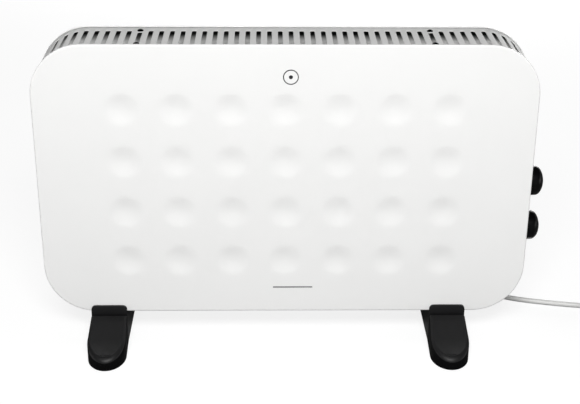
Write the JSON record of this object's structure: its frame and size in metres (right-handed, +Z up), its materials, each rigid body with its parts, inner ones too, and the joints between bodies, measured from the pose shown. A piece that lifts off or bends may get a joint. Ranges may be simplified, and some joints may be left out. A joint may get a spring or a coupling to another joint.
{
  "type": "fan convector heater",
  "caption": "Free-standing electric convector heater with a turbo fan: flat dimpled steel case, slotted top outlet, side knobs, two long feet and a mains lead.",
  "frame": {"origin": "on the floor under the middle of the case", "axes": "+X to the right along the case's width, towards the knobs; -Y out of the dimpled front; +Z up"},
  "size_m": [0.7173, 0.2881, 0.3483],
  "materials": {
    "front_coat": "gloss powder coat",
    "case_coat": "satin powder coat",
    "grille_coat": "satin powder coat",
    "seam_plastic": "satin",
    "foot_plastic": "moulded satin",
    "knob_plastic": "moulded semi gloss",
    "screw_black": "black oxide",
    "screw_zinc": "zinc plated",
    "inner_steel": "galvanised",
    "mica": "mica board",
    "coil_wire": "oxidised resistance wire",
    "steatite": "unglazed ceramic",
    "cutout_case": "plated",
    "control_case": "moulded phenolic",
    "spindle_metal": "ground",
    "nut_brass": "turned",
    "motor_iron": "laminated iron",
    "wheel_aluminium": "pressed",
    "terminal_plastic": "moulded",
    "core_sleeve": "silicone sleeve",
    "lead_pvc": "PVC",
    "plug_pvc": "moulded PVC",
    "pin_plate": "nickel plated"
  },
  "bodies": {
    "casing": {"front_panel": "front_coat", "rear_panel": "case_coat", "left_side_panel": "case_coat", "right_side_panel": "case_coat", "bottom_panel": "case_coat", "top_grille": "grille_coat", "left_seam_strip": "seam_plastic", "right_seam_strip": "seam_plastic", "left_foot": "foot_plastic", "right_foot": "foot_plastic", "grille_screws": "screw_black", "side_screws": "screw_black", "bottom_screws": "screw_black", "foot_screws": "screw_zinc", "element_end_plates": "inner_steel", "element_rails": "inner_steel", "partition_plate": "inner_steel", "fan_bracket": "inner_steel", "heat_baffle": "inner_steel", "mica_cards": "mica", "heating_coils": "coil_wire", "ceramic_bushes": "steatite", "thermal_cutout": "cutout_case", "thermostat_body": "control_case", "selector_body": "control_case", "thermostat_nut": "nut_brass", "selector_nut": "nut_brass", "fan_motor": "motor_iron", "terminal_block": "terminal_plastic", "internal_wires": "core_sleeve", "supply_cord": "lead_pvc", "cord_coil": "lead_pvc", "cord_tail": "lead_pvc", "strain_relief": "lead_pvc", "plug_body": "plug_pvc", "plug_pins": "pin_plate"},
    "thermostat_control": {"thermostat_knob": "knob_plastic", "thermostat_spindle": "spindle_metal"},
    "selector_control": {"selector_knob": "knob_plastic", "selector_spindle": "spindle_metal"},
    "fan_rotor": {"fan_wheel": "wheel_aluminium", "motor_shaft": "spindle_metal"}
  },
  "joints": [
    {"name": "thermostat_turn", "type": "hinge", "parent": "casing", "child": "thermostat_control", "pos_m": [0.2646, 0, 0.1825], "axis": [1, 0, 0], "range_deg": [-300, 0]},
    {"name": "selector_turn", "type": "hinge", "parent": "casing", "child": "selector_control", "pos_m": [0.2646, 0, 0.1285], "axis": [1, 0, 0], "range_deg": [-270, 0]},
    {"name": "fan_spin", "type": "hinge", "parent": "casing", "child": "fan_rotor", "pos_m": [0.2033, 0, 0.092], "axis": [1, 0, 0], "continuous": true}
  ]
}
